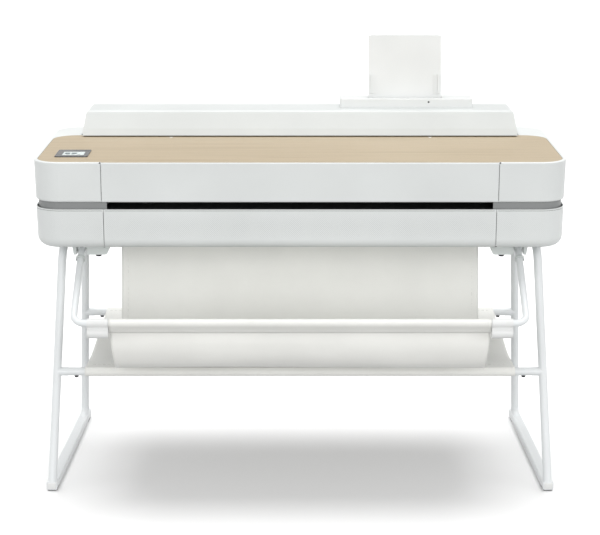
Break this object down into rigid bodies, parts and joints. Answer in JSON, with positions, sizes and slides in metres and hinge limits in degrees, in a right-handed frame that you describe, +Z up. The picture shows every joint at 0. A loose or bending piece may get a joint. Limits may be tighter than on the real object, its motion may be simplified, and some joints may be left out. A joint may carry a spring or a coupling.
{
  "type": "large format plotter",
  "caption": "Large format plotter: wide two-part casing with wood top, roll cover and upright sheet feeder, on a bent tube stand with a fabric media basket.",
  "frame": {"origin": "on the floor, at the middle of the footprint", "axes": "+X along the body to the user's right, the front faces -Y, +Z up"},
  "size_m": [1.3388, 0.7171, 1.123],
  "materials": {
    "casing_white": "fine satin texture, cool white",
    "cover_white": "satin, cool white",
    "feeder_white": "satin, bright white",
    "band_grey": "matte mid grey",
    "wood_top": "pale straight-grained veneer, satin",
    "display_dark": "dark gloss",
    "display_glass": "bright screen under gloss",
    "stand_white": "satin powder coat, white",
    "bracket_grey": "matte grey",
    "clip_grey": "matte light grey",
    "cloth": "plain woven polyester, off-white",
    "pad_rubber": "matte",
    "screw_black": "black oxide",
    "steel": "ground steel",
    "sheet_steel": "zinc grey sheet",
    "inner_black": "matte black",
    "bay_grey": "matte dark grey",
    "belt_rubber": "toothed belt",
    "roller_rubber": "ground rubber",
    "gear_plastic": "natural acetal",
    "paper": "uncoated paper, smooth",
    "knob_blue": "matte blue",
    "board_green": "solder mask",
    "ink_black": "moulded",
    "ink_cyan": "moulded",
    "ink_magenta": "moulded",
    "ink_yellow": "moulded",
    "switch_black": "gloss black"
  },
  "bodies": {
    "root": {"side_frame_left": "stand_white", "side_frame_right": "stand_white", "foot_pads": "pad_rubber", "front_cross_tube": "stand_white", "rear_cross_tube": "stand_white", "stand_brackets": "bracket_grey", "stand_screws": "screw_black", "basket_hanger_rod": "steel", "basket_back": "cloth", "basket_shelf": "cloth", "lower_housing": "casing_white", "lower_front_panel": "casing_white", "lower_end_left": "casing_white", "lower_end_right": "casing_white", "mid_band": "band_grey", "upper_deck": "casing_white", "upper_end_left": "casing_white", "upper_end_right": "casing_white", "hinge_pins": "steel", "wood_top_panel": "wood_top", "display_bezel": "display_dark", "display_screen": "display_glass", "roll_bay_tray": "bay_grey", "side_plates": "sheet_steel", "platen": "inner_black", "carriage_rail": "steel", "carriage_belt": "belt_rubber", "drive_motors": "sheet_steel", "cutter_rail": "sheet_steel", "service_station": "inner_black", "cartridge_bay": "inner_black", "main_board": "board_green", "power_supply": "sheet_steel"},
    "bail": {"bail_tube": "stand_white", "bail_clips": "clip_grey", "basket_front": "cloth"},
    "window": {"front_window": "casing_white"},
    "door": {"ink_door": "casing_white"},
    "cover": {"roll_cover": "cover_white", "feeder_base": "feeder_white"},
    "tray": {"feeder_tray": "feeder_white"},
    "extension": {"feeder_extension": "bracket_grey"},
    "guide_left": {"feeder_guide_left": "feeder_white"},
    "guide_right": {"feeder_guide_right": "feeder_white"},
    "roll": {"roll_spindle": "knob_blue", "paper_roll": "paper"},
    "carriage": {"carriage": "inner_black"},
    "belt_pulley": {"belt_pulley": "steel"},
    "idler_pulley": {"idler_pulley": "gear_plastic"},
    "feed_roller": {"feed_roller": "roller_rubber"},
    "feed_pinion": {"feed_pinion": "gear_plastic"},
    "pinch_rollers": {"pinch_rollers": "gear_plastic"},
    "exit_roller": {"exit_roller": "roller_rubber"},
    "cutter": {"cutter_sled": "inner_black"},
    "cap_sled": {"cap_sled": "gear_plastic"},
    "cartridge_1": {"ink_cartridge_1": "ink_black"},
    "cartridge_2": {"ink_cartridge_2": "ink_cyan"},
    "cartridge_3": {"ink_cartridge_3": "ink_magenta"},
    "cartridge_4": {"ink_cartridge_4": "ink_yellow"},
    "power_switch": {"power_switch": "switch_black"}
  },
  "joints": [
    {"name": "bail_hinge", "type": "hinge", "parent": "root", "child": "bail", "pos_m": [0, -0.125, 0.622], "axis": [1, 0, 0], "range_deg": [-20, 20], "deforming": ["basket_front"]},
    {"name": "window_hinge", "type": "hinge", "parent": "root", "child": "window", "pos_m": [0, -0.244, 0.862], "axis": [-1, 0, 0], "range_deg": [0, 75]},
    {"name": "door_hinge", "type": "hinge", "parent": "root", "child": "door", "pos_m": [0.57, -0.192, 0.655], "axis": [1, 0, 0], "range_deg": [0, 65]},
    {"name": "cover_hinge", "type": "hinge", "parent": "root", "child": "cover", "pos_m": [0, 0.309, 0.877], "axis": [-1, 0, 0], "range_deg": [0, 70]},
    {"name": "tray_hinge", "type": "hinge", "parent": "cover", "child": "tray", "pos_m": [0.288, 0.262, 0.946], "axis": [1, 0, 0], "range_deg": [0, 30]},
    {"name": "extension_slide", "type": "slide", "parent": "tray", "child": "extension", "axis": [0, 0.2147, 0.9767], "range_m": [0, 0.12]},
    {"name": "guide_left_slide", "type": "slide", "parent": "tray", "child": "guide_left", "axis": [1, 0, 0], "range_m": [0, 0.055]},
    {"name": "guide_right_slide", "type": "slide", "parent": "tray", "child": "guide_right", "axis": [1, 0, 0], "range_m": [-0.055, 0]},
    {"name": "roll_spin", "type": "hinge", "parent": "root", "child": "roll", "pos_m": [0, 0.232, 0.842], "axis": [1, 0, 0], "continuous": true},
    {"name": "carriage_slide", "type": "slide", "parent": "root", "child": "carriage", "axis": [1, 0, 0], "range_m": [-1.13, 0]},
    {"name": "belt_pulley_spin", "type": "hinge", "parent": "root", "child": "belt_pulley", "pos_m": [-0.6, 0.062, 0.8], "axis": [0, 1, 0], "range_deg": [-5, 6900]},
    {"name": "idler_pulley_spin", "type": "hinge", "parent": "root", "child": "idler_pulley", "pos_m": [0.6, 0.062, 0.8], "axis": [0, 1, 0], "range_deg": [-5, 6900]},
    {"name": "feed_roller_spin", "type": "hinge", "parent": "root", "child": "feed_roller", "pos_m": [0, 0.018, 0.735], "axis": [1, 0, 0], "continuous": true},
    {"name": "feed_pinion_spin", "type": "hinge", "parent": "root", "child": "feed_pinion", "pos_m": [-0.623, 0.0483, 0.735], "axis": [1, 0, 0], "continuous": true},
    {"name": "pinch_spin", "type": "hinge", "parent": "root", "child": "pinch_rollers", "pos_m": [0, 0.018, 0.751], "axis": [1, 0, 0], "continuous": true},
    {"name": "exit_spin", "type": "hinge", "parent": "root", "child": "exit_roller", "pos_m": [0, -0.14, 0.733], "axis": [1, 0, 0], "continuous": true},
    {"name": "cutter_slide", "type": "slide", "parent": "root", "child": "cutter", "axis": [1, 0, 0], "range_m": [-1.06, 0]},
    {"name": "cap_slide", "type": "slide", "parent": "root", "child": "cap_sled", "axis": [0, 1, 0], "range_m": [0, 0.012]},
    {"name": "cartridge_1_slide", "type": "slide", "parent": "root", "child": "cartridge_1", "axis": [0, -1, 0], "range_m": [0, 0.03]},
    {"name": "cartridge_2_slide", "type": "slide", "parent": "root", "child": "cartridge_2", "axis": [0, -1, 0], "range_m": [0, 0.03]},
    {"name": "cartridge_3_slide", "type": "slide", "parent": "root", "child": "cartridge_3", "axis": [0, -1, 0], "range_m": [0, 0.03]},
    {"name": "cartridge_4_slide", "type": "slide", "parent": "root", "child": "cartridge_4", "axis": [0, -1, 0], "range_m": [0, 0.03]},
    {"name": "switch_rocker", "type": "hinge", "parent": "root", "child": "power_switch", "pos_m": [-0.16, 0.305, 0.681], "axis": [1, 0, 0], "range_deg": [0, 16]}
  ],
  "couplings": [
    {"joint": "guide_right_slide", "follows": "guide_left_slide", "ratio": -1},
    {"joint": "belt_pulley_spin", "follows": "carriage_slide", "rad_per_m": -105.26},
    {"joint": "idler_pulley_spin", "follows": "carriage_slide", "rad_per_m": -105.26},
    {"joint": "feed_pinion_spin", "follows": "feed_roller_spin", "ratio": -4},
    {"joint": "pinch_spin", "follows": "feed_roller_spin", "ratio": -1.5},
    {"joint": "exit_spin", "follows": "feed_roller_spin", "ratio": 1.2857}
  ]
}
